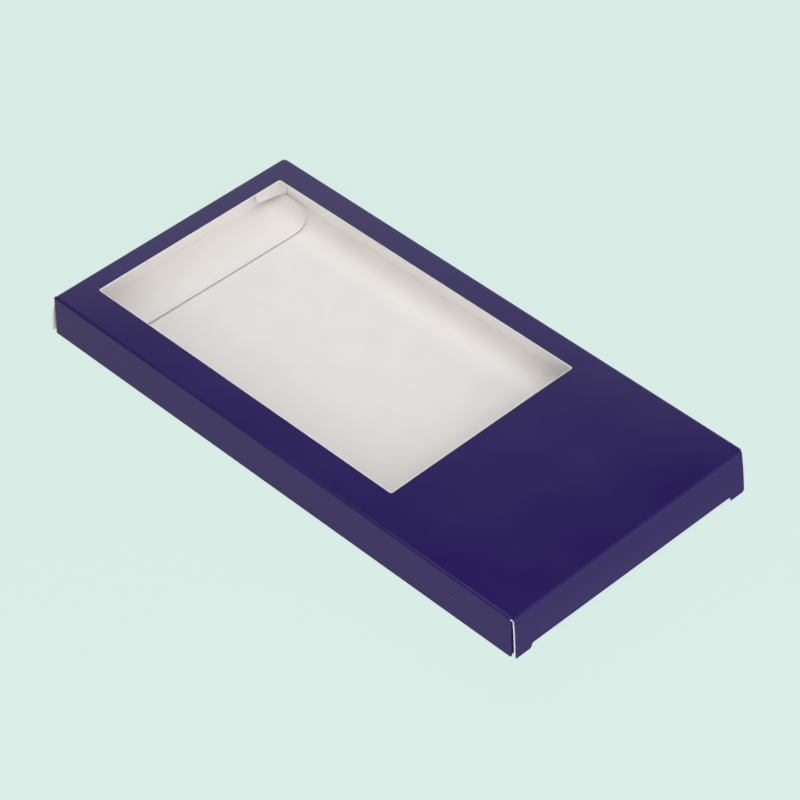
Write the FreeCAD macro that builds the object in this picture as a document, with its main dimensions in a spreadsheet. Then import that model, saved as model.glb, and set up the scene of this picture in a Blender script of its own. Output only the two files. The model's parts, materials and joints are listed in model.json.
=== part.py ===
"""Straight tuck end carton for a bar of chocolate, with a window in its top panel.

X runs along the box, Y across it and Z up, in millimetres. The origin is on the table under the box's middle.
The carton is one die-cut sheet of coated board. Each panel between two creases is a sub-part of its own,
because the creases are what the carton folds on. At a crease that opens, the panel that carries it ends in a
round nose on the crease's axis, and the flap starts just clear of that nose, so that it can swing.
"""
import FreeCAD, Part
import math
import os
import re
import Sketcher

SIZES = {
    # The closed box, measured outside
    "length": 160.0,
    "width": 80.0,
    "height": 12.2,
    "board": 0.45,
    "fold_inner_radius": 0.5,
    "bottom_setback": 0.8,
    # The window, measured from the box's outside faces
    "window_left_margin": 6.1,
    "window_right_margin": 49.5,
    "window_front_margin": 10.05,
    "window_back_margin": 7.55,
    "window_corner": 0.9,
    # The film patch behind the window and its frame of glue
    "film": 0.12,
    "film_overlap": 4.0,
    "film_corner": 2.0,
    "film_glue": 0.06,
    "film_glue_margin": 0.8,
    # The glued seam inside the front side panel
    "glue_flap_drop": 3.0,
    "glue_flap_setback": 4.5,
    "glue_flap_taper": 3.0,
    "seam_glue": 0.08,
    "seam_glue_margin": 1.5,
    "seam_edge_gap": 0.03,
    # Creases that open
    "hinge_gap": 0.1,
    "flare": 6.5,
    # The closure panels with the feet that their lock slits leave
    "closure_side_gap": 0.5,
    "closure_corner": 0.5,
    "foot_width": 5.2,
    "foot_length": 1.05,
    "foot_clearance": 0.03,
    "foot_corner": 0.7,
    "foot_tip": 0.4,
    "slit_gap": 0.2,
    # The tuck flaps
    "tuck_length": 16.0,
    "tuck_corner": 8.5,
    "tuck_clearance": 0.25,
    "rest_clearance": 0.04,
    # The dust flaps
    "dust_length": 11.5,
    "dust_clearance": 0.05,
    "dust_taper": 1.3,
    "dust_corner": 1.5,
    "dust_bevel": 0.7,
    "dust_film_gap": 0.35,
    "dust_tuck_gap": 0.2,
    "side_corner": 0.7,
    # How far a cut runs past the face that it leaves
    "overrun": 1.0,
}

DERIVED = {
    "half_length": "length / 2",
    "half_width": "width / 2",
    "half_board": "board / 2",
    "fold_radius": "board + fold_inner_radius",
    "flap_start": "half_board + hinge_gap",
    # The crease between the top panel and a closure
    "crease_x": "half_length - half_board",
    "crease_z": "height - half_board",
    # The closure, measured down from that crease
    "closure_half": "half_width - closure_side_gap",
    "foot_reach": "(crease_z - foot_clearance) / cos(flare)",
    "closure_drop": "foot_reach - foot_length",
    "foot_inner": "closure_half - foot_width",
    "foot_tip_round": "min(foot_tip; foot_length / 3)",
    "foot_inner_round": "min(foot_corner; foot_length / 2)",
    # The crease between a closure and its tuck
    "tuck_crease_half": "foot_inner - foot_inner_round - slit_gap",
    "tuck_x": "crease_x + closure_drop * sin(flare)",
    "tuck_z": "crease_z - closure_drop * cos(flare)",
    "tuck_rest": "tuck_z - board - half_board - rest_clearance",
    "tuck_turn": "acos(tuck_rest / tuck_length)",
    "ear_start": "foot_length + slit_gap",
    "tuck_round": "min(tuck_corner; tuck_length - ear_start - hinge_gap)",
    # The seam, from the front side panel inwards
    "seam_y": "half_width - board - seam_glue",
    "glue_flap_y": "seam_y - half_board",
    "glue_flap_top": "height - glue_flap_drop",
    "glue_flap_root": "half_length - glue_flap_setback",
    "glue_flap_tip": "glue_flap_root - glue_flap_taper",
    "tuck_half": "seam_y - board - tuck_clearance",
    # The window and what is glued behind it
    "window_left": "window_left_margin - half_length",
    "window_right": "half_length - window_right_margin",
    "window_front": "window_front_margin - half_width",
    "window_back": "half_width - window_back_margin",
    "film_glue_z": "height - board - film_glue / 2",
    "film_z": "height - board - film_glue - film / 2",
    "film_under": "height - board - film_glue - film",
    # The side panels and the dust flaps on their ends
    "side_y": "half_width - half_board",
    "side_top": "height - fold_radius",
    "dust_x": "crease_x - board - dust_clearance",
    "dust_upper": "min(film_under - dust_film_gap; side_top - hinge_gap)",
    "dust_lower": "tuck_z + half_board + dust_tuck_gap",
    "dust_middle": "(dust_upper + dust_lower) / 2",
    "dust_tip": "dust_length - half_board",
}

doc = FreeCAD.newDocument("window_carton")


def fill_sheet():
    """Write the driving sizes, then the places worked out from them, each cell under its own name."""
    sheet = doc.addObject("Spreadsheet::Sheet", "Sizes")
    rows = [(name, str(number)) for name, number in SIZES.items()]
    rows += [(name, "=" + formula) for name, formula in DERIVED.items()]
    for row, (name, content) in enumerate(rows, start=1):
        sheet.set(f"A{row}", name)
        sheet.set(f"B{row}", content)
        sheet.setAlias(f"B{row}", name)
    doc.recompute()
    return sheet


sizes = fill_sheet()


def value(formula):
    """The number that a formula of sheet names gives."""
    result = sizes.evalExpression(formula)
    return result.Value if hasattr(result, "Value") else float(result)


def bound(formula):
    """The formula with each sheet name written as a cell of the sheet."""
    def cell(word):
        known = word.group() in SIZES or word.group() in DERIVED
        return f"{sizes.Name}.{word.group()}" if known else word.group()
    return re.sub(r"[a-z_]+", cell, formula)


def new_body(label):
    body = doc.addObject("PartDesign::Body", label)
    body.Label = label
    return body


def place(body, x="0", y="0", z="0", turn_about=None, angle="0"):
    """Put a body at its place, turned about an axis through its own origin."""
    axis = turn_about or FreeCAD.Vector(0, 0, 1)
    body.Placement = FreeCAD.Placement(FreeCAD.Vector(), FreeCAD.Rotation(axis, value(angle)))
    for direction, formula in (("x", x), ("y", y), ("z", z)):
        body.setExpression(f"Placement.Base.{direction}", bound(formula))
    if turn_about:
        body.setExpression("Placement.Rotation.Angle", bound(angle))


def arc_between(start, end, centre):
    """A counterclockwise arc through two points, and whether it runs from end to start."""
    first, last = start - centre, end - centre
    backwards = first.x * last.y - first.y * last.x < 0
    if backwards:
        first, last = last, first
    circle = Part.Circle(centre, FreeCAD.Vector(0, 0, 1), first.Length)
    low, high = math.atan2(first.y, first.x), math.atan2(last.y, last.x)
    return Part.ArcOfCircle(circle, low, high), backwards


def draw_outline(sketch, corners):
    """Add one closed outline. A corner is (x, y), or (x, y, centre x, centre y, radius) where an arc follows."""
    count = len(corners)
    points = [FreeCAD.Vector(value(corner[0]), value(corner[1]), 0) for corner in corners]
    ends = []
    for index, corner in enumerate(corners):
        start, end = points[index], points[(index + 1) % count]
        backwards = False
        if len(corner) > 2:
            centre = FreeCAD.Vector(value(corner[2]), value(corner[3]), 0)
            edge, backwards = arc_between(start, end, centre)
        else:
            edge = Part.LineSegment(start, end)
        geometry = sketch.addGeometry(edge, False)
        ends.append((geometry, 2, 1) if backwards else (geometry, 1, 2))
    for index, corner in enumerate(corners):
        geometry, first, last = ends[index]
        following, following_first, _ = ends[(index + 1) % count]
        sketch.addConstraint(Sketcher.Constraint("Coincident", geometry, last, following, following_first))
        for kind, formula in (("DistanceX", corner[0]), ("DistanceY", corner[1])):
            bind_constraint(sketch, Sketcher.Constraint(kind, -1, 1, geometry, first, value(formula)), formula)
        if len(corner) > 2:
            bind_constraint(sketch, Sketcher.Constraint("Radius", geometry, value(corner[4])), corner[4])


def bind_constraint(sketch, constraint, formula):
    row = sketch.addConstraint(constraint)
    name = f"size{row}"
    sketch.renameConstraint(row, name)
    sketch.setExpression(f"Constraints.{name}", bound(formula))


def draw(body, plane, name, *outlines, level=None):
    """A sketch on one of the body's own planes, at a level above it, with one or more closed outlines."""
    sketch = body.newObject("Sketcher::SketchObject", f"{body.Name}_{name}")
    support = next(item for item in body.Origin.OriginFeatures if item.Role == plane)
    sketch.AttachmentSupport = (support, [""])
    sketch.MapMode = "FlatFace"
    if level:
        sketch.setExpression("AttachmentOffset.Base.z", bound(level))
    for corners in outlines:
        draw_outline(sketch, corners)
    doc.recompute()
    return sketch


def pad(body, sketch, thickness):
    """Solid material, half of its thickness on each side of the sketch."""
    feature = body.newObject("PartDesign::Pad", f"{sketch.Name}_pad")
    feature.Profile = sketch
    feature.SideType = "Symmetric"
    feature.setExpression("Length", bound(thickness))
    doc.recompute()
    return feature


def cut_through(body, sketch):
    """Cut the sketch right through the body, both ways, and make sure that something was cut."""
    volume_before = body.Shape.Volume
    feature = body.newObject("PartDesign::Pocket", f"{sketch.Name}_cut")
    feature.Profile = sketch
    feature.SideType = "Symmetric"
    feature.Type = "ThroughAll"
    doc.recompute()
    if not body.Shape.Volume < volume_before:
        raise RuntimeError(f"{feature.Name} cut nothing")
    return feature


def round_edges(body, base, chosen, radius):
    """Round the edges of the base feature that the chosen test picks."""
    names = [f"Edge{index}" for index, edge in enumerate(base.Shape.Edges, start=1) if chosen(edge)]
    feature = body.newObject("PartDesign::Fillet", f"{base.Name}_round")
    feature.Base = (base, names)
    feature.setExpression("Radius", bound(radius))
    doc.recompute()
    return feature


def mirrored(half):
    """A whole outline from the half at positive x, which runs from one end of the mirror line to the other."""
    whole = list(half)
    for index in range(len(half) - 1, -1, -1):
        x, y = half[index][:2]
        corner = (f"-({x})", y)
        if index > 0 and len(half[index - 1]) > 2:
            centre_x, centre_y, radius = half[index - 1][2:]
            corner += (f"-({centre_x})", centre_y, radius)
        whole.append(corner)
    return whole


def rounded_rectangle(left, right, low, high, radius):
    inner_left, inner_right = f"{left} + {radius}", f"{right} - ({radius})"
    inner_low, inner_high = f"{low} + {radius}", f"{high} - ({radius})"
    return [
        (inner_left, low),
        (inner_right, low, inner_right, inner_low, radius),
        (right, inner_low),
        (right, inner_high, inner_right, inner_high, radius),
        (inner_right, high),
        (inner_left, high, inner_left, inner_high, radius),
        (left, inner_high),
        (left, inner_low, inner_left, inner_low, radius),
    ]


def channel(front, back, bend):
    """Section of a panel whose two long edges turn a quarter round, up for a bend of 1 and down for -1."""
    outer, inner = f"{-bend} * half_board", f"{bend} * half_board"
    fold_end = f"{bend} * (fold_radius - half_board)"
    front_centre, back_centre = f"{front} + fold_radius", f"{back} - fold_radius"
    return [
        (front_centre, outer),
        (back_centre, outer, back_centre, fold_end, "fold_radius"),
        (back, fold_end),
        (f"{back} - board", fold_end, back_centre, fold_end, "fold_inner_radius"),
        (back_centre, inner),
        (front_centre, inner, front_centre, fold_end, "fold_inner_radius"),
        (f"{front} + board", fold_end),
        (front, fold_end, front_centre, fold_end, "fold_radius"),
    ]


def nose(x, y, direction_x, direction_y):
    """Half round end of a board at a crease's axis, pointing along X or along Y of its sketch."""
    reach_x, reach_y = f"{direction_x} * half_board", f"{direction_y} * half_board"
    return [
        (f"{x} - ({reach_y})", f"{y} + {reach_x}", x, y, "half_board"),
        (f"{x} + {reach_x}", f"{y} + {reach_y}", x, y, "half_board"),
        (f"{x} + {reach_y}", f"{y} - ({reach_x})"),
    ]


def make_top_panel():
    body = new_body("top_panel")
    section = draw(body, "YZ_Plane", "folds", channel("-half_width", "half_width", -1))
    pad(body, section, "2 * dust_x")
    plate = nose("crease_x", "0", 1, 0) + nose("-crease_x", "0", -1, 0)
    pad(body, draw(body, "XZ_Plane", "plate", plate), "2 * (half_width - fold_radius)")
    window = rounded_rectangle("window_left", "window_right", "window_front", "window_back", "window_corner")
    cut_through(body, draw(body, "XY_Plane", "window", window))
    place(body, z="crease_z")
    return body


def make_bottom_panel():
    body = new_body("bottom_panel")
    section = draw(body, "YZ_Plane", "folds", channel("-seam_y", "half_width", 1))
    pad(body, section, "2 * (half_length - bottom_setback)")
    place(body, z="half_board")
    return body


def make_side_panel(label, side, lower):
    """A long side from its lower edge up to the top fold, with the dust flaps' creases at its ends."""
    body = new_body(label)
    half_outline = [
        ("dust_x", "side_top"),
        ("dust_x", f"{lower} + side_corner", "dust_x - side_corner", f"{lower} + side_corner", "side_corner"),
        ("dust_x - side_corner", lower),
    ]
    pad(body, draw(body, "XZ_Plane", "outline", mirrored(half_outline)), "board")
    ends = nose("dust_x", "0", 1, 0), nose("-dust_x", "0", -1, 0)
    pad(body, draw(body, "XY_Plane", "creases", *ends, level="dust_middle"), "dust_upper - dust_lower")
    place(body, y=f"{side} * side_y")
    return body


def make_glue_flap():
    body = new_body("glue_flap")
    half_outline = [("glue_flap_tip", "glue_flap_top"), ("glue_flap_root", "fold_radius")]
    pad(body, draw(body, "XZ_Plane", "outline", mirrored(half_outline)), "board")
    place(body, y="-glue_flap_y")
    return body


def make_seam_glue():
    body = new_body("seam_glue")
    half_outline = [
        ("glue_flap_tip - seam_glue_margin", "glue_flap_top - seam_glue_margin"),
        ("glue_flap_tip - seam_glue_margin", "fold_radius + seam_glue_margin"),
    ]
    pad(body, draw(body, "XZ_Plane", "outline", mirrored(half_outline)), "seam_glue")
    place(body, y="-(seam_y + seam_glue / 2)")
    return body


def film_outline(margin, radius):
    """The window's outline, grown on all four sides."""
    return rounded_rectangle(f"window_left - ({margin})", f"window_right + {margin}",
                             f"window_front - ({margin})", f"window_back + {margin}", radius)


def make_window_film():
    body = new_body("window_film")
    pad(body, draw(body, "XY_Plane", "outline", film_outline("film_overlap", "film_corner")), "film")
    place(body, z="film_z")
    return body


def make_film_glue():
    body = new_body("film_glue")
    outer = film_outline("film_overlap - film_glue_margin", "film_corner")
    inner = film_outline("film_glue_margin", "window_corner")
    pad(body, draw(body, "XY_Plane", "frame", outer, inner), "film_glue")
    place(body, z="film_glue_z")
    return body


def make_closure_panel(label, end):
    """An end flap hanging from the top panel's crease, with a foot at each end of its lower edge."""
    body = new_body(label)
    tip_level, inner_level = "foot_tip_round - foot_reach", "-closure_drop - foot_inner_round"
    inner_tip, outer_tip = "foot_inner + foot_tip_round", "closure_half - foot_tip_round"
    inner_round_y, top_round_y = "foot_inner - foot_inner_round", "closure_half - closure_corner"
    top_level = "-flap_start - closure_corner"
    half_outline = [
        (top_round_y, "-flap_start", top_round_y, top_level, "closure_corner"),
        ("closure_half", top_level),
        ("closure_half", tip_level, outer_tip, tip_level, "foot_tip_round"),
        (outer_tip, "-foot_reach"),
        (inner_tip, "-foot_reach", inner_tip, tip_level, "foot_tip_round"),
        ("foot_inner", tip_level),
        ("foot_inner", inner_level, inner_round_y, inner_level, "foot_inner_round"),
        (inner_round_y, "-closure_drop"),
    ]
    pad(body, draw(body, "YZ_Plane", "outline", mirrored(half_outline)), "board")
    crease = nose("0", "-closure_drop", 0, -1)
    pad(body, draw(body, "XZ_Plane", "crease", crease), "2 * tuck_crease_half")
    place(body, x=f"{end} * crease_x", z="crease_z", turn_about=FreeCAD.Vector(0, -end, 0), angle="flare")
    return body


def make_tuck_flap(label, end):
    """A tuck turned in from a closure's lower crease, resting its round-cornered edge on the bottom panel."""
    body = new_body(label)
    corner_y, corner_level = "tuck_half - tuck_round", "tuck_round - tuck_length"
    half_outline = [
        ("tuck_crease_half", "-flap_start"),
        ("tuck_crease_half", "-ear_start"),
        ("tuck_half", "-ear_start"),
        ("tuck_half", corner_level, corner_y, corner_level, "tuck_round"),
        (corner_y, "-tuck_length"),
    ]
    pad(body, draw(body, "YZ_Plane", "outline", mirrored(half_outline)), "board")
    place(body, x=f"{end} * tuck_x", z="tuck_z", turn_about=FreeCAD.Vector(0, end, 0), angle="tuck_turn")
    return body


def make_dust_flap(label, end, side):
    """A short flap turned in from a side panel's end, its lower edge rising clear of the tuck."""
    body = new_body(label)
    root, tip = f"{-side} * flap_start", f"{-side} * dust_tip"
    outline = [(root, "dust_lower"), (tip, "dust_lower + dust_taper"), (tip, "dust_upper"), (root, "dust_upper")]
    blank = pad(body, draw(body, "YZ_Plane", "outline", outline), "board")
    tip_y = value(tip)
    round_edges(body, blank, lambda edge: all(math.isclose(v.Y, tip_y) for v in edge.Vertexes)
                and abs(edge.tangentAt(edge.FirstParameter).x) > abs(edge.tangentAt(edge.FirstParameter).z),
                "dust_corner")
    inside, outside = f"{-end} * (half_board + overrun)", f"{end} * half_board"
    cut_edge = f"{-side} * (flap_start - overrun)"
    bevel = [
        (outside, root),
        (f"{-end} * half_board", f"{-side} * (flap_start + dust_bevel)"),
        (inside, f"{-side} * (flap_start + dust_bevel)"),
        (inside, cut_edge),
        (outside, cut_edge),
    ]
    cut_through(body, draw(body, "XY_Plane", "bevel", bevel))
    place(body, x=f"{end} * dust_x", y=f"{side} * side_y")
    return body


def make_parts():
    parts = [
        make_top_panel(),
        make_bottom_panel(),
        make_side_panel("front_side_panel", -1, "seam_edge_gap"),
        make_side_panel("back_side_panel", 1, "fold_radius"),
        make_glue_flap(),
        make_seam_glue(),
        make_window_film(),
        make_film_glue(),
    ]
    for end_name, end in (("right", 1), ("left", -1)):
        parts.append(make_closure_panel(f"{end_name}_closure_panel", end))
        parts.append(make_tuck_flap(f"{end_name}_tuck_flap", end))
        for side_name, side in (("front", -1), ("back", 1)):
            parts.append(make_dust_flap(f"{end_name}_{side_name}_dust_flap", end, side))
    return parts


def check(parts):
    """Stop if any feature failed or any sub-part isn't one sound solid."""
    doc.recompute()
    for item in doc.Objects:
        if "Invalid" in item.State or "Error" in item.State:
            raise RuntimeError(f"{item.Name} failed: {item.State}")
    for body in parts:
        if body.Shape.isNull() or not body.Shape.isValid() or len(body.Shape.Solids) != 1:
            raise RuntimeError(f"{body.Label} isn't one sound solid")


def write(parts):
    os.makedirs("parts", exist_ok=True)
    for body in parts:
        body.Shape.exportStep(f"parts/{body.Label}.step")
        box = body.Shape.BoundBox
        print(f"{body.Label}: x {box.XMin:.2f} to {box.XMax:.2f}, y {box.YMin:.2f} to {box.YMax:.2f}, "
              f"z {box.ZMin:.2f} to {box.ZMax:.2f}, {body.Shape.Volume:.1f} mm3")


carton = make_parts()
check(carton)
write(carton)
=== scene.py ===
"""Tuck end carton for a bar of chocolate, with a window in its top panel, dressed for rendering.

Metres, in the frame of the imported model: X runs along the box, Y across it and Z up. Each panel is a plate
of board, and each crease is a strip that turns between two plates. Both have a printed face, a white face
and raw edges.
"""
import bmesh
import bpy
import json
import math
from functools import partial
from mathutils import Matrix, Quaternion, Vector


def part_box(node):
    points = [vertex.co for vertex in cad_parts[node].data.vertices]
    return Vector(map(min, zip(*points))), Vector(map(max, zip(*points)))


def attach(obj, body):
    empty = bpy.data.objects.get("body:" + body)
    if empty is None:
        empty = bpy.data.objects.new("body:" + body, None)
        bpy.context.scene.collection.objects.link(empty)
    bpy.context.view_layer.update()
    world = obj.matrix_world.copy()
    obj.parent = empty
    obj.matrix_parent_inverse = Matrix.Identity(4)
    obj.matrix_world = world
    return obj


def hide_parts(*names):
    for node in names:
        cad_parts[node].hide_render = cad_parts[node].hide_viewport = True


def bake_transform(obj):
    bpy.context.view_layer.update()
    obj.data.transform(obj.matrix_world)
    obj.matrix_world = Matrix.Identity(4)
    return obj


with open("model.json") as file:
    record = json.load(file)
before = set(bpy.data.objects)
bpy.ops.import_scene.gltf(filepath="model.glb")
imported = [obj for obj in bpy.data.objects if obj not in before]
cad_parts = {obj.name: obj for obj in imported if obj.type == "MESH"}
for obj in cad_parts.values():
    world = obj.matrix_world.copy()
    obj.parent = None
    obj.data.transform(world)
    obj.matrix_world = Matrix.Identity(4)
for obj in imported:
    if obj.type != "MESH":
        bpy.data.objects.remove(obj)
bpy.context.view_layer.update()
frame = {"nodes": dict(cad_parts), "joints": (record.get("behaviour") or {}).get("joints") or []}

MM = 0.001
X, Y, Z = Vector((1, 0, 0)), Vector((0, 1, 0)), Vector((0, 0, 1))
RIGHT_ANGLE = math.pi / 2
ENDS = {"right": 1, "left": -1}
SIDES = {"front": -1, "back": 1}


def low(node):
    """A node's lowest corner."""
    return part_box(node)[0]


def high(node):
    """A node's highest corner."""
    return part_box(node)[1]


def hinge(name):
    """The point on a joint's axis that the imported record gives."""
    return Vector(next(joint["pos_m"] for joint in frame["joints"] if joint["name"] == name))


# The feet are shorter than in the frame, so that those of a twisted closure stay above the floor.
# The tucks are narrower at each side, so that they clear the creases of the dust flaps.
FOOT_LIFT = 0.07 * MM
TUCK_TRIM = 0.3 * MM

# The box and its creases, read from the frame
BOARD = high("front_side_panel").y - low("front_side_panel").y
HALF_BOARD = BOARD / 2
HALF_WIDTH, HEIGHT = high("top_panel").yz
CLOSURE_CREASE = hinge("right_closure_crease")
TUCK_CREASE = hinge("right_tuck_crease")
DUST_CREASE = hinge("right_back_dust_crease")
CLOSURE_HALF = high("right_closure_panel").y
CLOSURE_DROP = (TUCK_CREASE - CLOSURE_CREASE).length
FLARE = math.atan2(TUCK_CREASE.x - CLOSURE_CREASE.x, CLOSURE_CREASE.z - TUCK_CREASE.z)
FOOT_REACH = ((CLOSURE_CREASE.z - low("right_closure_panel").z - HALF_BOARD * math.sin(FLARE))
              / math.cos(FLARE)) - FOOT_LIFT
TUCK_HALF = high("right_tuck_flap").y - TUCK_TRIM
TUCK_FALL = TUCK_CREASE.z - low("right_tuck_flap").z - HALF_BOARD
TUCK_SLOPE = math.atan2(TUCK_FALL, TUCK_CREASE.x - low("right_tuck_flap").x)
TUCK_LENGTH = TUCK_FALL / math.sin(TUCK_SLOPE)
DUST_LOWER, DUST_UPPER = low("right_back_dust_flap").z, high("right_back_dust_flap").z
DUST_LENGTH = DUST_CREASE.y - low("right_back_dust_flap").y
SEAM_Y = low("bottom_panel").y
BOTTOM_X = high("bottom_panel").x
FRONT_LOWER = low("front_side_panel").z

# Creases: the bends' outer radius, the flat board at each side of them, and the bead pressed inside
FOLD_ROLL = 0.7 * MM
CREASE_ROLL = 0.65 * MM
DUST_ROLL = 0.5 * MM
CREASE_MARGIN = 0.5 * MM
CLOSURE_MARGIN = 0.25 * MM
DUST_MARGIN = 0.85 * MM
BEAD = 0.22 * MM

# Closures: how far they reach past the frame's at the front and the back, and their feet and slits
FRONT_OVER = {"right": 0.2 * MM, "left": 0.4 * MM}
BACK_OVER = -0.3 * MM
FOOT_WIDTH = 5.2 * MM
FOOT_SHARP = 0.15 * MM
FOOT_SOFT = 0.8 * MM
FOOT_ROUND = 0.2 * MM
SLIT_GAP = 0.2 * MM

# Tucks: where they widen past their crease, and their round corners
EAR_START = 1.05 * MM
TUCK_ROUND = 9.3 * MM

# Dust flaps: the rise of the lower edge, the round corners, and how the edge rises across the crease
DUST_TAPER = 2.0 * MM
DUST_ROUND = 1.5 * MM
DUST_RISE_START = 0.3
DUST_RISE_POWER = 3

# The share of a dust flap's bend that has the paler crease print
DUST_PALE_SHARE = 0.5

# The window, its film, the film's glue and the glue flap
FILM_OVERLAP = 4 * MM
FILM_ROUND = 2 * MM
WINDOW_LOW_SHIFT = Vector((0.1, -0.2, 0)) * MM
WINDOW_HIGH_SHIFT = Vector((0.35, -0.1, 0)) * MM
WINDOW_ROUND = 0.4 * MM
WINDOW_BURR = 0.2 * MM
GLUE_MARGIN = 0.8 * MM
FLAP_TAPER = 3 * MM

# The shares of a long top fold's bend between which its end goes from the closure's crease to the side's
CORNER_LAP = {"right": (0.8, 1.0), "left": (0.0, 0.3)}

# How far plates stray from flat, and how far closures spring open and twist
TOP_CROWN = 0.2 * MM
CROWN_ALONG_POWER, CROWN_ACROSS_POWER = 8, 4
CLOSURE_BOW = {"right": 0.12 * MM, "left": 0.35 * MM}
CLOSURE_EASE = {"right": math.radians(-0.3), "left": math.radians(2.2)}
CLOSURE_TWIST = {"right": math.radians(2.4), "left": math.radians(-2.0)}
TUCK_CURL = 0.35 * MM

# How far out the ends of the long sides stand, and how far they lean out for each metre of fall
END_SHIFT = {("right", "front"): -0.2 * MM, ("right", "back"): -0.2 * MM,
             ("left", "front"): 0.7 * MM, ("left", "back"): -0.2 * MM}
END_LEAN = {("right", "front"): 0.035, ("right", "back"): 0.035,
            ("left", "front"): 0.035, ("left", "back"): 0}

# How finely meshes are cut
CELL = 4 * MM
STATION = 5 * MM
BEND_STEPS = 12
ROUND_STEPS = 8
WELD = 0.001 * MM
SHARP_ANGLE = math.radians(35)

# Colours, as linear light
BACKDROP = (0.701, 0.847, 0.799, 1)
PALE_FLOOR = (0.7046, 0.8668, 0.8144, 1)
FLOOR_SHEEN = (0.54, 0.51, 0.55, 1)
FLOOR_BOUNCE = (0.76, 0.76, 0.75, 1)
INK = (0.0152, 0.0058, 0.0955, 1)
INK_WORN = (0.0202, 0.0090, 0.1160, 1)
FOLD_INK = (0.0215, 0.0124, 0.0893, 1)
FOLD_INK_WORN = (0.0263, 0.0160, 0.1008, 1)
# The crease inks are lighter copies of the print: on the right closure's crease they are a painted highlight
# where it faces the key light.
CREASE_HIGHLIGHT_INK = (0.0310, 0.0200, 0.1145, 1)
CREASE_HIGHLIGHT_INK_WORN = (0.0362, 0.0252, 0.1239, 1)
LINT = (0.30, 0.27, 0.36, 1)
LINER = (0.930, 0.903, 0.890, 1)
LINER_WARM = (0.885, 0.843, 0.820, 1)
RAW_EDGE = (0.86, 0.84, 0.80, 1)
RAW_EDGE_DARK = (0.66, 0.63, 0.58, 1)
FILM_CLEAR = (0.99, 0.992, 0.99, 1)
FILM_GLOSS = (0.93, 0.94, 0.94, 1)
FILM_GLOSS_DULL = (0.82, 0.83, 0.83, 1)
GLUE = (0.80, 0.79, 0.74, 1)
GLUE_THIN = (0.70, 0.69, 0.65, 1)

# Noises: how fine and how detailed they are, the band of values that counts, and what it becomes
INK_CLOUDS = {"per_metre": 45.0, "detail": 3.0, "band": (0.35, 0.65), "becomes": (0.0, 0.30)}
INK_GRAIN = {"per_metre": 2200.0, "detail": 4.0, "band": (0.3, 0.7), "becomes": (0.0, 0.25)}
PRINT_SMUDGES = {"per_metre": 60.0, "detail": 4.0, "band": (0.3, 0.7), "becomes": (0.15, 0.21)}
LINER_MOTTLE = {"per_metre": 120.0, "detail": 4.0, "band": (0.3, 0.7), "becomes": (0.0, 0.45)}
LINER_FIBRE = {"per_metre": 1400.0, "detail": 3.0, "band": (0.3, 0.7), "becomes": (0.0, 0.35)}
EDGE_PLIES = {"per_metre": 1800.0, "detail": 4.0, "band": (0.35, 0.75), "becomes": (0.0, 0.7)}
FILM_HAZE = {"per_metre": 250.0, "detail": 3.0, "band": (0.3, 0.7), "becomes": (0.10, 0.20)}
GLUE_THINNING = {"per_metre": 400.0, "detail": 3.0, "band": (0.35, 0.65), "becomes": (0.0, 1.0)}
PRINT_TEXTURE = {"per_metre": 1500.0, "detail": 3.0}
FILM_RIPPLE = {"per_metre": 60.0, "detail": 2.0}
FIBRE_STRETCH = (0.25, 1, 1)

# Specks of lint: cells per metre, the band of cells that have one, its radius in cells, and its cover
LINT_PER_METRE = 230.0
LINT_BAND = (0.80, 1.0)
LINT_RADIUS = (0.0, 0.045)
LINT_COVER = 0.5

# Finishes: lowest and highest roughness, level of gloss, and depth and strength of the bumps
LINER_ROUGHNESS = (0.55, 0.68)
EDGE_ROUGHNESS = (0.75, 0.9)
GLUE_ROUGHNESS = (0.3, 0.5)
PRINT_SPECULAR = 0.32
LINER_SPECULAR = 0.35
EDGE_SPECULAR = 0.2
FILM_IOR = 1.22
PRINT_BUMP = (0.02 * MM, 0.3)
LINER_BUMP = (0.02 * MM, 0.4)
EDGE_BUMP = (0.04 * MM, 0.5)
FILM_BUMP = (0.1 * MM, 0.15)
GLUE_BUMP = (0.03 * MM, 0.5)


# Nodes of materials

# The Mix node's sockets for colours, which share their names with those for numbers
MIX_SHARE, MIX_FIRST, MIX_SECOND, MIX_RESULT = 0, 6, 7, 2


def new_material(name):
    """A material with no nodes yet, and its tree."""
    material = bpy.data.materials.new(name)
    material.use_nodes = True
    material.node_tree.nodes.clear()
    return material, material.node_tree


def new_node(tree, kind, inputs=None, **settings):
    """A node with its settings, and its input sockets set to values or linked to other nodes' outputs."""
    made = tree.nodes.new(kind)
    for name, setting in settings.items():
        setattr(made, name, setting)
    for key, given in (inputs or {}).items():
        if isinstance(given, bpy.types.NodeSocket):
            tree.links.new(given, made.inputs[key])
        else:
            made.inputs[key].default_value = given
    return made


def show(tree, shader, output="ShaderNodeOutputMaterial"):
    """Make a shader what the tree puts out."""
    new_node(tree, output, {"Surface": shader.outputs[0]})


def places(tree, stretch=(1, 1, 1)):
    """The surface's own coordinates in metres, drawn out along chosen axes."""
    coordinates = new_node(tree, "ShaderNodeTexCoord").outputs["Object"]
    return new_node(tree, "ShaderNodeMapping", {"Vector": coordinates, "Scale": stretch}).outputs[0]


def ranged(tree, source, band, becomes=(0.0, 1.0)):
    """A value with a band of it spread over other values, and held at their ends outside the band."""
    inputs = {"Value": source, "From Min": band[0], "From Max": band[1],
              "To Min": becomes[0], "To Max": becomes[1]}
    return new_node(tree, "ShaderNodeMapRange", inputs).outputs["Result"]


def noise(tree, vector, per_metre, detail):
    """Smooth noise from nought to one, with so many features per metre."""
    inputs = {"Vector": vector, "Scale": per_metre, "Detail": detail}
    return new_node(tree, "ShaderNodeTexNoise", inputs).outputs["Fac"]


def uneven(tree, vector, per_metre, detail, band, becomes):
    """Noise with a band of it spread over other values."""
    return ranged(tree, noise(tree, vector, per_metre, detail), band, becomes)


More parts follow.
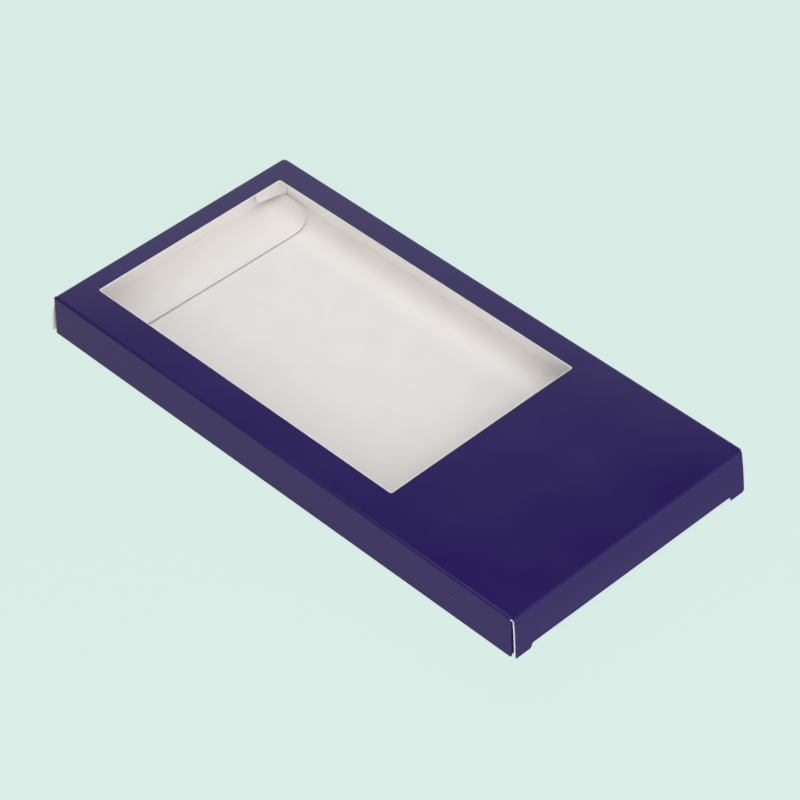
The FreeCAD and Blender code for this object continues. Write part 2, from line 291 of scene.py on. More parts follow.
def maths(tree, operation, first, second=0.0):
    """The result of an operation on one or two values."""
    return new_node(tree, "ShaderNodeMath", {0: first, 1: second}, operation=operation).outputs[0]


def mixed(tree, share, first, second):
    """A colour between two, by a share."""
    inputs = {MIX_SHARE: share, MIX_FIRST: first, MIX_SECOND: second}
    return new_node(tree, "ShaderNodeMix", inputs, data_type="RGBA").outputs[MIX_RESULT]


def mixed_shaders(tree, share, first, second):
    """A shader between two, by a share."""
    inputs = {"Fac": share, 1: first.outputs[0], 2: second.outputs[0]}
    return new_node(tree, "ShaderNodeMixShader", inputs)


def bumped(tree, height, depth, strength):
    """The surface's normal, bumped by a height."""
    inputs = {"Height": height, "Distance": depth, "Strength": strength}
    return new_node(tree, "ShaderNodeBump", inputs).outputs[0]


# Materials

def lint_specks(tree, vector):
    """Sparse pale specks of lint, none more than 0.4 mm across."""
    cells = new_node(tree, "ShaderNodeTexVoronoi", {"Vector": vector, "Scale": LINT_PER_METRE})
    chance = new_node(tree, "ShaderNodeSeparateColor", {"Color": cells.outputs["Color"]}).outputs[0]
    radius = ranged(tree, chance, LINT_BAND, LINT_RADIUS)
    return maths(tree, "MULTIPLY", maths(tree, "LESS_THAN", cells.outputs["Distance"], radius), LINT_COVER)


def print_material(name, fresh, worn):
    """Deep violet ink under a smooth laminate: a little uneven, with fine grain and specks of lint."""
    material, tree = new_material(name)
    where = places(tree)
    wear = maths(tree, "ADD", uneven(tree, where, **INK_CLOUDS), uneven(tree, where, **INK_GRAIN))
    shader = new_node(tree, "ShaderNodeBsdfPrincipled", {
        "Base Color": mixed(tree, lint_specks(tree, where), mixed(tree, wear, fresh, worn), LINT),
        "Roughness": uneven(tree, where, **PRINT_SMUDGES),
        "Specular IOR Level": PRINT_SPECULAR,
        "Normal": bumped(tree, noise(tree, where, **PRINT_TEXTURE), *PRINT_BUMP),
    })
    show(tree, shader)
    return material


def liner_material():
    """The white inside of the board, faintly mottled, with fibres that run along the box."""
    material, tree = new_material("white_liner")
    mottle = uneven(tree, places(tree), **LINER_MOTTLE)
    fibre = uneven(tree, places(tree, FIBRE_STRETCH), **LINER_FIBRE)
    shader = new_node(tree, "ShaderNodeBsdfPrincipled", {
        "Base Color": mixed(tree, maths(tree, "ADD", mottle, fibre), LINER, LINER_WARM),
        "Roughness": ranged(tree, fibre, LINER_FIBRE["becomes"], LINER_ROUGHNESS),
        "Specular IOR Level": LINER_SPECULAR,
        "Normal": bumped(tree, fibre, *LINER_BUMP),
    })
    show(tree, shader)
    return material


def edge_material():
    """Cut board: off-white fibre with darker plies here and there."""
    material, tree = new_material("raw_board_edge")
    plies = uneven(tree, places(tree), **EDGE_PLIES)
    shader = new_node(tree, "ShaderNodeBsdfPrincipled", {
        "Base Color": mixed(tree, plies, RAW_EDGE, RAW_EDGE_DARK),
        "Roughness": ranged(tree, plies, EDGE_PLIES["becomes"], EDGE_ROUGHNESS),
        "Specular IOR Level": EDGE_SPECULAR,
        "Normal": bumped(tree, plies, *EDGE_BUMP),
    })
    show(tree, shader)
    return material


def film_material():
    """Clear film: nearly all of the light goes through, and its outer face mirrors a little, unevenly."""
    material, tree = new_material("clear_film")
    clear = new_node(tree, "ShaderNodeBsdfTransparent", {"Color": FILM_CLEAR})
    haze = uneven(tree, places(tree), **FILM_HAZE)
    gloss = new_node(tree, "ShaderNodeBsdfPrincipled", {
        "Base Color": mixed(tree, haze, FILM_GLOSS, FILM_GLOSS_DULL),
        "Roughness": haze,
        "Metallic": 1.0,
        "Normal": bumped(tree, noise(tree, places(tree), **FILM_RIPPLE), *FILM_BUMP),
    })
    backfacing = new_node(tree, "ShaderNodeNewGeometry").outputs["Backfacing"]
    facing = maths(tree, "SUBTRACT", 1.0, backfacing)
    mirror = new_node(tree, "ShaderNodeFresnel", {"IOR": FILM_IOR}).outputs[0]
    show(tree, mixed_shaders(tree, maths(tree, "MULTIPLY", mirror, facing), clear, gloss))
    return material


def glue_material():
    """Dried white glue, thinner in places."""
    material, tree = new_material("dried_glue")
    thin = uneven(tree, places(tree), **GLUE_THINNING)
    shader = new_node(tree, "ShaderNodeBsdfPrincipled", {
        "Base Color": mixed(tree, thin, GLUE, GLUE_THIN),
        "Roughness": ranged(tree, thin, GLUE_THINNING["becomes"], GLUE_ROUGHNESS),
        "Normal": bumped(tree, thin, *GLUE_BUMP),
    })
    show(tree, shader)
    return material


# Slots of the materials on a piece of board
PRINT, LINING, EDGE, BENT = 0, 1, 2, 3
BOARD_MATERIALS = [print_material("violet_print", INK, INK_WORN), liner_material(), edge_material()]
FOLDED_PRINT = print_material("folded_print", FOLD_INK, FOLD_INK_WORN)
# Lighter print for bends: a painted highlight on the right closure's crease, and the paler share of the dust
# flaps' bends.
CREASE_HIGHLIGHT_AND_WEAR_PRINT = print_material("crease_highlight_and_wear_print", CREASE_HIGHLIGHT_INK, CREASE_HIGHLIGHT_INK_WORN)
FILM_MATERIAL = film_material()
GLUE_MATERIAL = glue_material()


# Meshes

def arc(centre_u, centre_v, radius, start_quarter, end_quarter):
    """Points round an arc, from one quarter turn to another."""
    points = []
    for step in range(ROUND_STEPS + 1):
        angle = RIGHT_ANGLE * (start_quarter + (end_quarter - start_quarter) * step / ROUND_STEPS)
        points.append((centre_u + radius * math.cos(angle), centre_v + radius * math.sin(angle)))
    return points


def mirrored(half):
    """The other half of an outline, at negative u, from its half at positive u."""
    return [(-u, v) for u, v in reversed(half)]


def rounded_box(lower, upper, radius):
    """The outline of a box seen from above, with round corners."""
    near_left, near_right = lower.x + radius, upper.x - radius
    near_front, near_back = lower.y + radius, upper.y - radius
    return (arc(near_right, near_front, radius, -1, 0) + arc(near_right, near_back, radius, 0, 1)
            + arc(near_left, near_back, radius, 1, 2) + arc(near_left, near_front, radius, 2, 3))


def solid(name, points, polygons, slots, materials):
    """An object with its faces turned outwards and its sharp edges kept sharp."""
    mesh = bpy.data.meshes.new(name)
    mesh.from_pydata(points, [], polygons)
    for material in materials:
        mesh.materials.append(material)
    mesh.polygons.foreach_set("material_index", slots)
    mesh.polygons.foreach_set("use_smooth", [True] * len(polygons))
    work = bmesh.new()
    work.from_mesh(mesh)
    bmesh.ops.recalc_face_normals(work, faces=work.faces)
    work.to_mesh(mesh)
    work.free()
    mesh.set_sharp_from_angle(angle=SHARP_ANGLE)
    made = bpy.data.objects.new(name, mesh)
    bpy.context.scene.collection.objects.link(made)
    return made


def cut_in_cells(flat):
    """Cut flat faces along an even grid."""
    for axis in (X, Y):
        reach = [vertex.co @ axis for vertex in flat.verts]
        start, span = min(reach), max(reach) - min(reach)
        count = max(1, round(span / CELL))
        for step in range(1, count):
            everything = flat.verts[:] + flat.edges[:] + flat.faces[:]
            bmesh.ops.bisect_plane(flat, geom=everything, dist=WELD,
                                   plane_co=axis * (start + span * step / count), plane_no=axis)


def plate(name, outlines, origin, across, along, outward, materials=BOARD_MATERIALS, thickness=BOARD,
          shape=None, finishes=None):
    """A sheet whose outer face has these outlines, in distances across and along it from its origin.

    A shape moves its points by a vector, from those distances. The finishes are the outlines' slots on
    that face.
    """
    flat = bmesh.new()
    for outline, slot in zip(outlines, finishes or [PRINT] * len(outlines)):
        flat.faces.new([flat.verts.new((u, v, 0)) for u, v in outline]).material_index = slot
    bmesh.ops.remove_doubles(flat, verts=flat.verts, dist=WELD)
    cut_in_cells(flat)
    flat.verts.index_update()
    outer = []
    for vertex in flat.verts:
        u, v = vertex.co.xy
        outer.append(origin + across * u + along * v + (shape(u, v) if shape else Vector()))
    count = len(outer)
    faces = [[vertex.index for vertex in face.verts] for face in flat.faces]
    slots = [face.material_index for face in flat.faces]
    rims = [[vertex.index for vertex in edge.verts] for edge in flat.edges if edge.is_boundary]
    flat.free()
    polygons = faces + [[index + count for index in reversed(face)] for face in faces]
    polygons += [[first, second, second + count, first + count] for first, second in rims]
    slots += [LINING] * len(faces) + [EDGE] * len(rims)
    if len(materials) == 1:
        slots = [0] * len(slots)
    return solid(name, outer + [point - outward * thickness for point in outer], polygons, slots, materials)


def bend_reach(turn, roll, margin):
    """How far from a crease's axis its strip ends on each side."""
    return (roll - HALF_BOARD) * math.tan(turn / 2) + margin


def bend_section(turn, roll, margin):
    """Outer and inner points of a strip across a crease, along the panel that carries it and outwards."""
    centre = Vector((-bend_reach(turn, roll, 0), HALF_BOARD - roll))
    outer, inner = [], []
    for step in range(BEND_STEPS + 1):
        share = step / BEND_STEPS
        ray = Vector((math.sin(turn * share), math.cos(turn * share)))
        outer.append(centre + ray * roll)
        inner.append(centre + ray * (roll - BOARD - BEAD * math.sin(math.pi * share) ** 2))
    if margin:
        reach = bend_reach(turn, roll, margin)
        flap = Vector((math.cos(turn), -math.sin(turn)))
        flap_out = Vector((math.sin(turn), math.cos(turn)))
        outer = [Vector((-reach, HALF_BOARD))] + outer + [flap * reach + flap_out * HALF_BOARD]
        inner = [Vector((-reach, -HALF_BOARD))] + inner + [flap * reach - flap_out * HALF_BOARD]
    return outer, inner


def strip_faces(width, steps, caps, bent_places):
    """The faces and slots of a strip, so many points wide and steps long, whose bent places are given."""
    polygons, slots = [], []

    def face(slot, *corners):
        polygons.append([step * 2 * width + side * width + place for step, side, place in corners])
        slots.append(slot)

    for step in range(steps):
        for place in range(width - 1):
            for side, slot in ((0, BENT if place in bent_places else PRINT), (1, LINING)):
                face(slot, (step, side, place), (step, side, place + 1), (step + 1, side, place + 1),
                     (step + 1, side, place))
        for place in (0, width - 1):
            face(EDGE, (step, 0, place), (step + 1, 0, place), (step + 1, 1, place), (step, 1, place))
    for step in (0, steps):
        for place in range(width - 1):
            face(caps, (step, 0, place), (step, 0, place + 1), (step, 1, place + 1), (step, 1, place))
    return polygons, slots


def crease(name, origin, panel, outward, along, start, end, bend, caps=EDGE, shape=None, bent=None,
           bent_share=1.0):
    """A strip of board that turns inwards along a crease, from the panel that carries it to the next.

    It runs from start to end, each given by the share of the way across the strip. Caps is the slot of its
    ends. A shape moves its points by a vector, from the distance along the crease. Bent is a material for
    the printed face of the bend itself, or of a share of it.
    """
    turn, roll, margin = bend
    outer, inner = bend_section(turn, roll, margin)
    width = len(outer)
    steps = max(1, round((end(0) - start(0)) / STATION))
    points = []
    for step in range(steps + 1):
        for section in (outer, inner):
            for place, (forth, out) in enumerate(section):
                first, last = start(place / (width - 1)), end(place / (width - 1))
                station = first + (last - first) * step / steps
                stray = shape(station) if shape else Vector()
                points.append(origin + panel * forth + outward * out + along * station + stray)
    bend_start = 1 if margin else 0
    bent_places = range(bend_start, bend_start + round(BEND_STEPS * bent_share)) if bent else ()
    polygons, slots = strip_faces(width, steps, caps, bent_places)
    return solid(name, points, polygons, slots, BOARD_MATERIALS + ([bent] if bent else []))


def even(station):
    """A strip's end that is cut straight across."""
    return lambda share: station


# Pieces on their bodies

def settle(piece, body, node):
    """Let a piece ride on a body, and stand for a node."""
    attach(piece, body)
    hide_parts(node)


def bend_between(piece):
    """Bake a crease's strip where it stands; it is not tied to the bodies that it joins."""
    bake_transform(piece)


def dress_node(name, material):
    """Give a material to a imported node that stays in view."""
    node = frame["nodes"][name]
    node.data.materials.clear()
    node.data.materials.append(material)


# Bends: the angle that they turn, their outer radius, and the flat board at each side
CLOSURE_TURN = RIGHT_ANGLE - FLARE
TUCK_TURN = RIGHT_ANGLE + FLARE - TUCK_SLOPE
LONG_FOLD = (RIGHT_ANGLE, FOLD_ROLL, 0)
CLOSURE_BEND = (CLOSURE_TURN, CREASE_ROLL, CLOSURE_MARGIN)
TUCK_BEND = (TUCK_TURN, CREASE_ROLL, CREASE_MARGIN)
DUST_BEND = (RIGHT_ANGLE, DUST_ROLL, DUST_MARGIN)
FOLD_REACH = bend_reach(*LONG_FOLD)
CLOSURE_REACH = bend_reach(*CLOSURE_BEND)
TUCK_REACH = bend_reach(*TUCK_BEND)
DUST_REACH = bend_reach(*DUST_BEND)


# The sleeve

FOLD_Y = HALF_WIDTH - HALF_BOARD
BOTTOM_FOLD_Y = {"front": SEAM_Y + HALF_BOARD, "back": FOLD_Y}
TOP_X = CLOSURE_CREASE.x - CLOSURE_REACH
TOP_Y = FOLD_Y - FOLD_REACH
SIDE_X = DUST_CREASE.x - DUST_REACH
SIDE_UPPER = HEIGHT - HALF_BOARD - FOLD_REACH
SIDE_LOWER = {"front": FRONT_LOWER, "back": HALF_BOARD + FOLD_REACH}
WINDOW_LOW = low("window_film") + Vector((FILM_OVERLAP, FILM_OVERLAP, 0)) + WINDOW_LOW_SHIFT
WINDOW_HIGH = high("window_film") - Vector((FILM_OVERLAP, FILM_OVERLAP, 0)) + WINDOW_HIGH_SHIFT
WINDOW_MIDDLE = (WINDOW_LOW.y + WINDOW_HIGH.y) / 2


def top_crown(x, y):
    """The top panel and what is glued to it stand a little higher between the folds than near them."""
    along = 1 - abs(x / TOP_X) ** CROWN_ALONG_POWER
    across = 1 - abs(y / TOP_Y) ** CROWN_ACROSS_POWER
    return Z * TOP_CROWN * along * across


def window_edge(grow):
    """The window's outline grown by a margin, in two parts.

    The front half goes from right to left, and the back half from left to right.
    """
    left, right = WINDOW_LOW.x - grow, WINDOW_HIGH.x + grow
    front, back = WINDOW_LOW.y - grow, WINDOW_HIGH.y + grow
    radius = WINDOW_ROUND + grow
    near_left, near_right = left + radius, right - radius
    near_front, near_back = front + radius, back - radius
    front_half = arc(near_right, near_front, radius, 4, 3) + arc(near_left, near_front, radius, 3, 2)
    back_half = arc(near_left, near_back, radius, 2, 1) + arc(near_right, near_back, radius, 1, 0)
    return [(right, WINDOW_MIDDLE)] + front_half + [(left, WINDOW_MIDDLE)], back_half


def window_frame(grow, left, right, front, back):
    """Two outlines that together make a frame round the window, whose hole is grown by a margin."""
    front_edge, back_edge = window_edge(grow)
    front_half = [(left, WINDOW_MIDDLE), (left, front), (right, front), (right, WINDOW_MIDDLE)] + front_edge
    back_half = [(right, WINDOW_MIDDLE), (right, back), (left, back), (left, WINDOW_MIDDLE), front_edge[-1]]
    return [front_half, back_half + back_edge + front_edge[:1]]


def window_burr():
    """Two outlines of the narrow rim round the window where the die has lifted the print from the board."""
    (front_outer, back_outer), (front_inner, back_inner) = window_edge(WINDOW_BURR), window_edge(0)
    back_outer = front_outer[-1:] + back_outer + front_outer[:1]
    back_inner = front_inner[-1:] + back_inner + front_inner[:1]
    return [front_outer + front_inner[::-1], back_outer + back_inner[::-1]]


def corner_lap(end_name, side_name, share):
    """Where a long top fold ends: at the closure's crease on top, and near the dust flap's at the side."""
    lap = DUST_CREASE.x + END_SHIFT[end_name, side_name] - TOP_X
    first, last = CORNER_LAP[end_name]
    return ENDS[end_name] * (TOP_X + lap * min(1, max(0, (share - first) / (last - first))))


def make_top():
    """The top panel with the window in it, and the two long folds at its sides."""
    outlines = window_frame(WINDOW_BURR, -TOP_X, TOP_X, -TOP_Y, TOP_Y) + window_burr()
    finishes = [PRINT, PRINT, EDGE, EDGE]
    top = plate("top_board", outlines, Z * HEIGHT, X, Y, Z, shape=top_crown, finishes=finishes)
    settle(top, "carton", "top_panel")
    for name, side in SIDES.items():
        origin = Vector((0, side * FOLD_Y, HEIGHT - HALF_BOARD))
        fold = crease(f"{name}_top_fold", origin, Y * side, Z, X, partial(corner_lap, "left", name),
                      partial(corner_lap, "right", name), LONG_FOLD, PRINT, bent=FOLDED_PRINT)
        settle(fold, "carton", "top_panel")


def make_bottom():
    """The bottom panel and the two long folds at its sides."""
    front, back = BOTTOM_FOLD_Y["front"] + FOLD_REACH, BOTTOM_FOLD_Y["back"] - FOLD_REACH
    outline = [(-BOTTOM_X, front), (BOTTOM_X, front), (BOTTOM_X, back), (-BOTTOM_X, back)]
    settle(plate("bottom_board", [outline], Vector(), X, Y, -Z), "carton", "bottom_panel")
    for name, side in SIDES.items():
        origin = Vector((0, BOTTOM_FOLD_Y[name], HALF_BOARD))
        fold = crease(f"{name}_bottom_fold", origin, Y * side, -Z, X, even(-BOTTOM_X), even(BOTTOM_X),
                      LONG_FOLD)
        settle(fold, "carton", "bottom_panel")


def end_lean(corner, z):
    """How far the springy end of a long side stands further out than under the top fold."""
    return END_LEAN[corner] * (SIDE_UPPER - z)


def side_end(corner, z):
    """Where a long side ends at a height, at the start of its dust flap's crease."""
    return ENDS[corner[0]] * (SIDE_X + END_SHIFT[corner] + end_lean(corner, z))


def make_side(name, side):
    """A long side between the top fold and its lower edge, whose ends turn into the dust flaps."""
    lower, right, left = SIDE_LOWER[name], ("right", name), ("left", name)
    corners = ((right, SIDE_UPPER), (right, lower), (left, lower), (left, SIDE_UPPER))
    outline = [(side_end(corner, z), z) for corner, z in corners]
    board = plate(f"{name}_side_board", [outline], Y * side * HALF_WIDTH, X, Z, Y * side)
    settle(board, "carton", f"{name}_side_panel")


def make_seam():
    """The glue flap inside the front side, with the line of glue that holds it."""
    lower, upper = HALF_BOARD + FOLD_REACH, high("glue_flap").z
    root = high("glue_flap").x
    half = [(root, lower), (root - FLAP_TAPER, upper)]
    flap = plate("glue_flap_board", [half + mirrored(half)], Y * SEAM_Y, X, Z, -Y)
    settle(flap, "carton", "glue_flap")
    dress_node("seam_glue", GLUE_MATERIAL)


def make_window():
    """The clear film behind the window and the frame of glue that holds it."""
    lower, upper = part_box("window_film")
    film = plate("window_film_sheet", [rounded_box(lower, upper, FILM_ROUND)], Z * upper.z, X, Y, Z,
                 [FILM_MATERIAL], upper.z - lower.z, top_crown)
    settle(film, "carton", "window_film")
    lower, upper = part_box("film_glue")
    outlines = window_frame(GLUE_MARGIN, lower.x, upper.x, lower.y, upper.y)
    glue = plate("film_glue_frame", outlines, Z * upper.z, X, Y, Z,
                 [GLUE_MATERIAL], upper.z - lower.z, top_crown)
    settle(glue, "carton", "film_glue")


# The ends

CLOSURE_FRONT = {name: CLOSURE_HALF + FRONT_OVER[name] for name in ENDS}
CLOSURE_BACK = CLOSURE_HALF + BACK_OVER
CLOSURE_FOLD_FRONT = {"right": HALF_WIDTH, "left": TOP_Y}
CLOSURE_FOLD_CAPS = {"right": EDGE, "left": PRINT}
# Only the right closure's crease gets the lighter print, a painted highlight on the side that faces the key
# light.
CLOSURE_BENT = {"right": CREASE_HIGHLIGHT_AND_WEAR_PRINT, "left": None}
FOOT_INNER = CLOSURE_HALF - FOOT_WIDTH
TUCK_CREASE_HALF = FOOT_INNER - FOOT_ROUND - SLIT_GAP


def turned(panel, outward, turn):
    """The direction and the outward side of a flap that turns inwards from a panel."""
    cosine, sine = math.cos(turn), math.sin(turn)
    return panel * cosine - outward * sine, panel * sine + outward * cosine


def closure_bow(name, v):
    """How far a closure bulges between its two creases."""
    share = (v - CLOSURE_REACH) / (CLOSURE_DROP - TUCK_REACH - CLOSURE_REACH)
    return CLOSURE_BOW[name] * math.sin(math.pi * min(1, max(0, share)))


def closure_twist(name, u, v):
    """How far a closure stands out from its even slope, because one of its ends springs further open."""
    drop = min(v, CLOSURE_DROP - TUCK_REACH) - CLOSURE_REACH
    return drop * math.tan(CLOSURE_EASE[name] + CLOSURE_TWIST[name] * u / CLOSURE_HALF)


def closure_fold_front(name, share):
    """The front end of a closure's crease: bare at the right, and under the long fold's lap at the left."""
    start = CLOSURE_FOLD_FRONT[name]
    return -(start + (CLOSURE_FRONT[name] - start) * share)


def closure_half(edge, tip, inner_tip):
    """Half of a closure: its straight edge, a foot with two round tips, and the slit beside the tuck."""
    half = [(edge, CLOSURE_REACH)]
    half += arc(edge - tip, FOOT_REACH - tip, tip, 0, 1)
    half += arc(FOOT_INNER + inner_tip, FOOT_REACH - inner_tip, inner_tip, 1, 2)
    half += arc(FOOT_INNER - FOOT_ROUND, CLOSURE_DROP + FOOT_ROUND, FOOT_ROUND, 0, -1)
    return half + [(TUCK_CREASE_HALF, CLOSURE_DROP), (TUCK_CREASE_HALF, CLOSURE_DROP - TUCK_REACH)]


def closure_outline(name):
    """The die has left each foot's front tip sharp and its back tip round."""
    back_half = closure_half(CLOSURE_BACK, FOOT_SOFT, FOOT_SHARP)
    return back_half + mirrored(closure_half(CLOSURE_FRONT[name], FOOT_SHARP, FOOT_SOFT))


def tuck_curl(v):
    """How far a tuck lifts towards its free edge."""
    return TUCK_CURL * (v / TUCK_LENGTH) ** 2


def tuck_outline():
    """A tuck from its crease inwards: two ears beside the slits, and round corners at its free edge."""
    half = [(TUCK_CREASE_HALF, TUCK_REACH), (TUCK_CREASE_HALF, EAR_START), (TUCK_HALF, EAR_START)]
    half += arc(TUCK_HALF - TUCK_ROUND, TUCK_LENGTH - TUCK_ROUND, TUCK_ROUND, 0, 1)
    return half + mirrored(half)


def make_closure(name, end):
    """A closure with its tuck, and the two creases that they turn on."""
    top_edge = Vector((end * CLOSURE_CREASE.x, 0, CLOSURE_CREASE.z))
    lower_edge = Vector((end * TUCK_CREASE.x, 0, TUCK_CREASE.z))
    closure, tuck = f"{name}_closure", f"{name}_tuck"
    down, out = turned(X * end, Z, CLOSURE_TURN)
    inwards, under = turned(down, out, TUCK_TURN)

    def lower_twist(u):
        return out * closure_twist(name, u, CLOSURE_DROP)

    board = plate(f"{closure}_board", [closure_outline(name)], top_edge + out * HALF_BOARD, Y, down, out,
                  shape=lambda u, v: out * (closure_bow(name, v) + closure_twist(name, u, v)))
    settle(board, closure, f"{closure}_panel")
    flap = plate(f"{tuck}_board", [tuck_outline()], lower_edge + under * HALF_BOARD, Y, inwards, under,
                 shape=lambda u, v: lower_twist(u) - under * tuck_curl(v))
    settle(flap, tuck, f"{tuck}_flap")
    fold = crease(f"{closure}_fold", top_edge, X * end, Z, Y, partial(closure_fold_front, name),
                  even(CLOSURE_BACK), CLOSURE_BEND, CLOSURE_FOLD_CAPS[name], bent=CLOSURE_BENT[name])
    bend_between(fold)
    fold = crease(f"{tuck}_fold", lower_edge, down, out, Y, even(-TUCK_CREASE_HALF),
                  even(TUCK_CREASE_HALF), TUCK_BEND, PRINT, lower_twist)
    bend_between(fold)


def dust_outline():
    """A dust flap from its crease inwards, its lower edge rising to the round free end."""
    rise = DUST_LOWER + DUST_TAPER
    outline = [(DUST_LOWER, DUST_REACH)]
    outline += arc(rise + DUST_ROUND, DUST_LENGTH - DUST_ROUND, DUST_ROUND, 2, 1)
    outline += arc(DUST_UPPER - DUST_ROUND, DUST_LENGTH - DUST_ROUND, DUST_ROUND, 1, 0)
    return outline + [(DUST_UPPER, DUST_REACH)]


def dust_fold_lower(side_name, share):
    """The lower edge of a dust flap's crease, which rises from the side's edge to the flap's."""
    side_edge = SIDE_LOWER[side_name]
    risen = max(0, share - DUST_RISE_START) / (1 - DUST_RISE_START)
    return side_edge + (DUST_LOWER - side_edge) * risen ** DUST_RISE_POWER


def dust_fold_upper(share):
    """The upper edge of a dust flap's crease, between the side's edge and the flap's."""
    return SIDE_UPPER + (DUST_UPPER - SIDE_UPPER) * share


def make_dust_flap(end_name, end, side_name, side):
    """A dust flap and the crease that it turns on, at one corner of the box."""
    body, corner = f"{end_name}_{side_name}_dust", (end_name, side_name)
    axis = Vector((end * (DUST_CREASE.x + END_SHIFT[corner]), side * DUST_CREASE.y, 0))

    def lean(z):
        return X * end * end_lean(corner, z)

    flap = plate(f"{body}_board", [dust_outline()], axis + X * end * HALF_BOARD, Z, -Y * side, X * end,
                 shape=lambda u, v: lean(u))
    settle(flap, body, f"{body}_flap")
    # Part of the bend has the paler crease print that also paints the right closure's highlight.
    fold = crease(f"{body}_fold", axis, X * end, Y * side, Z, partial(dust_fold_lower, side_name),
                  dust_fold_upper, DUST_BEND, PRINT, lean, CREASE_HIGHLIGHT_AND_WEAR_PRINT, DUST_PALE_SHARE)
    bend_between(fold)


def make_carton():
    make_top()
    make_bottom()
    for name, side in SIDES.items():
        make_side(name, side)
    make_seam()
    make_window()
    for end_name, end in ENDS.items():
        make_closure(end_name, end)
        for side_name, side in SIDES.items():
            make_dust_flap(end_name, end, side_name, side)


# The stage

# The floor, and the part of it under the box that doesn't glow
FLOOR_RADIUS = 6.0
FLOOR_SIDES = 64
FLOOR_GLOW = 0.9
SHADE_LOW, SHADE_HIGH = Vector((-80.8, -37, 0)) * MM, Vector((80, 40, 0)) * MM

# The room: its light, the way to its bright window, the cosines between which that fades in, and the
# heights between which it rises from its sill
ROOM_DIM = (0.09, 0.09, 0.095, 1)
ROOM_BRIGHT = (2.65, 2.65, 2.6, 1)
ROOM_BRIGHT_WAY = Vector((-0.7212, 0.6796, 0.1340))
ROOM_BRIGHT_EDGE = (math.cos(math.radians(36.5)), math.cos(math.radians(19.7)))
ROOM_SILL = (0.30, 0.45)

# Lights: where they stand, their width and height, and their power in watts
LIGHTS = {
    "key": ((0.61, -0.45, 0.86), (1.1, 1.1), 10.1),
    "overhead": ((-0.25, 0.0, 1.15), (0.7, 0.7), 2.8),
    "front_fill": ((0.35, -0.95, 0.38), (0.9, 0.5), 3.5),
    "right_fill": ((1.0, 0.1, 0.25), (0.5, 0.4), 2.0),
}
LIGHT_AIM = Vector((0, 0, 0))

# The photograph's camera, for a picture as wide as it is high
CAMERA_PLACE = Vector((0.43129, -0.42217, 0.55311))
CAMERA_AIM = Vector((0.004322, -0.000865, 0.006))
CAMERA_ROLL = math.radians(-0.339)
CAMERA_LENS = 148.51


def outside(tree, distance, lowest, highest):
    """One where a distance is outside a range, and nought in it."""
    from_middle = maths(tree, "SUBTRACT", distance, (lowest + highest) / 2)
    return maths(tree, "GREATER_THAN", maths(tree, "ABSOLUTE", from_middle), (highest - lowest) / 2)


def floor_material():
    """Pale and matt. What the camera, gloss and glass show of it is mostly an even colour of its own.

    Under the box it has only the light that reaches it.
    """
    material, tree = new_material("pale_floor")
    path = new_node(tree, "ShaderNodeLightPath").outputs
    seen = maths(tree, "MAXIMUM", path["Is Camera Ray"], path["Is Glossy Ray"])
    seen = maths(tree, "MAXIMUM", seen, path["Is Transmission Ray"])
    place = new_node(tree, "ShaderNodeSeparateXYZ", {"Vector": places(tree)}).outputs
    beside_x = outside(tree, place["X"], SHADE_LOW.x, SHADE_HIGH.x)
    beside_y = outside(tree, place["Y"], SHADE_LOW.y, SHADE_HIGH.y)
    beside = maths(tree, "MAXIMUM", beside_x, beside_y)
    share = maths(tree, "MULTIPLY", maths(tree, "MULTIPLY", seen, FLOOR_GLOW), beside)
    matt = new_node(tree, "ShaderNodeBsdfDiffuse", {"Color": FLOOR_BOUNCE})
    colour = mixed(tree, path["Is Glossy Ray"], PALE_FLOOR, FLOOR_SHEEN)
    glow = new_node(tree, "ShaderNodeEmission", {"Color": colour, "Strength": 1.0})
    show(tree, mixed_shaders(tree, share, matt, glow))
    return material


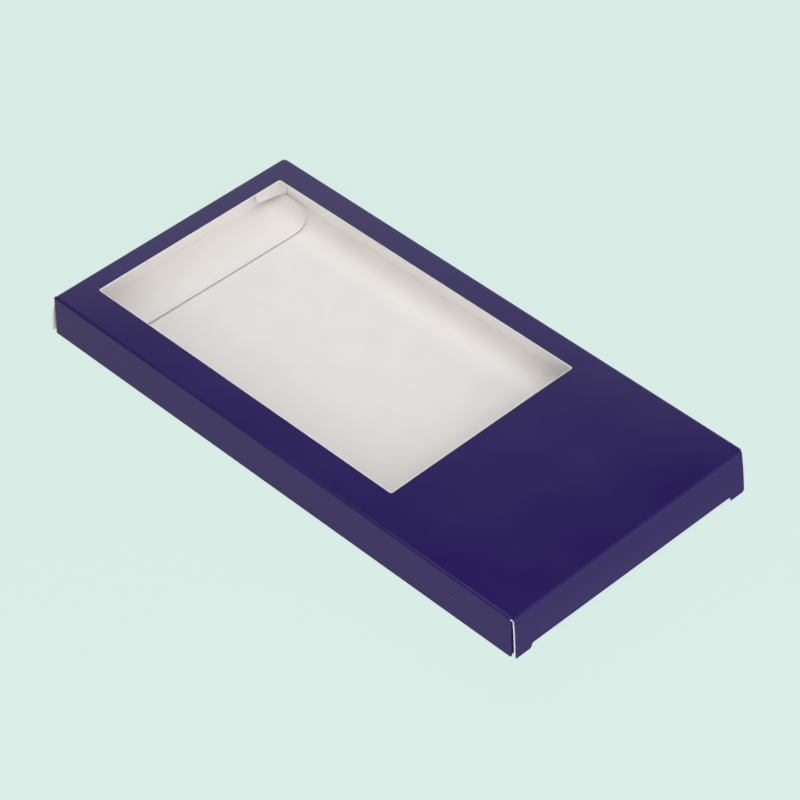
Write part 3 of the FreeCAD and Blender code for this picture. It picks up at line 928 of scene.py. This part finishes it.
def make_floor():
    """A wide round floor that the box stands on."""
    ring = [2 * math.pi * side / FLOOR_SIDES for side in range(FLOOR_SIDES)]
    mesh = bpy.data.meshes.new("floor")
    points = [(FLOOR_RADIUS * math.cos(angle), FLOOR_RADIUS * math.sin(angle), 0) for angle in ring]
    mesh.from_pydata(points, [], [list(range(FLOOR_SIDES))])
    mesh.materials.append(floor_material())
    floor = bpy.data.objects.new("floor", mesh)
    bpy.context.scene.collection.objects.link(floor)


def make_world():
    """A dim even room with a bright window behind the far end. The camera sees a pale backdrop instead."""
    world = bpy.data.worlds.new("soft_room")
    world.use_nodes = True
    tree = world.node_tree
    tree.nodes.clear()
    direction = new_node(tree, "ShaderNodeTexCoord").outputs["Generated"]
    facing = new_node(tree, "ShaderNodeVectorMath", {0: direction, 1: ROOM_BRIGHT_WAY},
                      operation="DOT_PRODUCT").outputs["Value"]
    height = new_node(tree, "ShaderNodeSeparateXYZ", {"Vector": direction}).outputs["Z"]
    share = maths(tree, "MULTIPLY", ranged(tree, facing, ROOM_BRIGHT_EDGE), ranged(tree, height, ROOM_SILL))
    seen = new_node(tree, "ShaderNodeLightPath").outputs["Is Camera Ray"]
    colour = mixed(tree, seen, mixed(tree, share, ROOM_DIM, ROOM_BRIGHT), BACKDROP)
    background = new_node(tree, "ShaderNodeBackground", {"Color": colour, "Strength": 1.0})
    show(tree, background, "ShaderNodeOutputWorld")
    bpy.context.scene.world = world


def aimed(name, data, place, aim):
    """A lamp or camera that stands in a place and looks at another."""
    made = bpy.data.objects.new(name, data)
    made.location = place
    made.rotation_mode = "QUATERNION"
    made.rotation_quaternion = (aim - place).to_track_quat("-Z", "Y")
    bpy.context.scene.collection.objects.link(made)
    return made


def make_lights():
    """A large soft light from the camera's side, a weaker one high at the far end, and two fills."""
    for name, (place, (width, height), power) in LIGHTS.items():
        light = bpy.data.lights.new(name, "AREA")
        light.shape = "RECTANGLE"
        light.size, light.size_y = width, height
        light.energy = power
        aimed(name, light, Vector(place), LIGHT_AIM)


def make_camera():
    """The camera that was fitted to the photograph."""
    data = bpy.data.cameras.new("camera")
    data.lens = CAMERA_LENS
    camera = aimed("camera", data, CAMERA_PLACE, CAMERA_AIM)
    camera.rotation_quaternion = camera.rotation_quaternion @ Quaternion(Z, CAMERA_ROLL)
    bpy.context.scene.camera = camera


make_carton()
make_floor()
make_world()
make_lights()
make_camera()
bpy.context.scene.view_settings.view_transform = "Standard"
